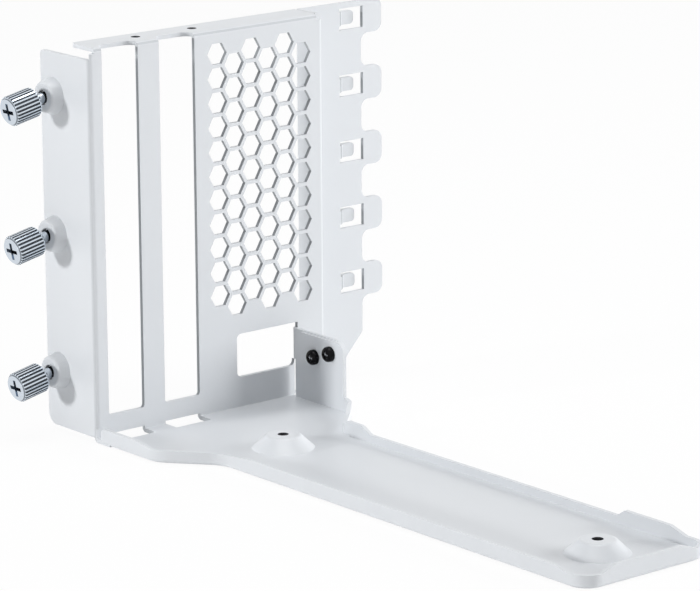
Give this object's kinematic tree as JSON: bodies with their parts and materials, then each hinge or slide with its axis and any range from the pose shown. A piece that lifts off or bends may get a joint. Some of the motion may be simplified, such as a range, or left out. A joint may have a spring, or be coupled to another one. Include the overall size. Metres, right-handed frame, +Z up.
{
  "type": "vertical graphics card mount",
  "caption": "Folded steel mount with a slotted, vented and hooked panel, a flange with captive thumbscrews, and a shallow tray with an arm.",
  "frame": {"origin": "where a card's bracket stands: midway between the two slots, on the panel's front face, at the tray's upper face", "axes": "+X along the panel towards its hooked edge, -Y along the tray's arm, +Z up"},
  "size_m": [0.1332, 0.2159, 0.1155],
  "materials": {
    "painted_sheet": "satin white powder coat",
    "bright_screw": "bright nickel plating, knurled",
    "black_screw": "glossy black oxide"
  },
  "bodies": {
    "root": {"folded_sheet": "painted_sheet", "thumbscrew_top": "bright_screw", "thumbscrew_middle": "bright_screw", "thumbscrew_bottom": "bright_screw", "tab_screw_rear": "black_screw", "tab_screw_front": "black_screw"}
  },
  "joints": []
}
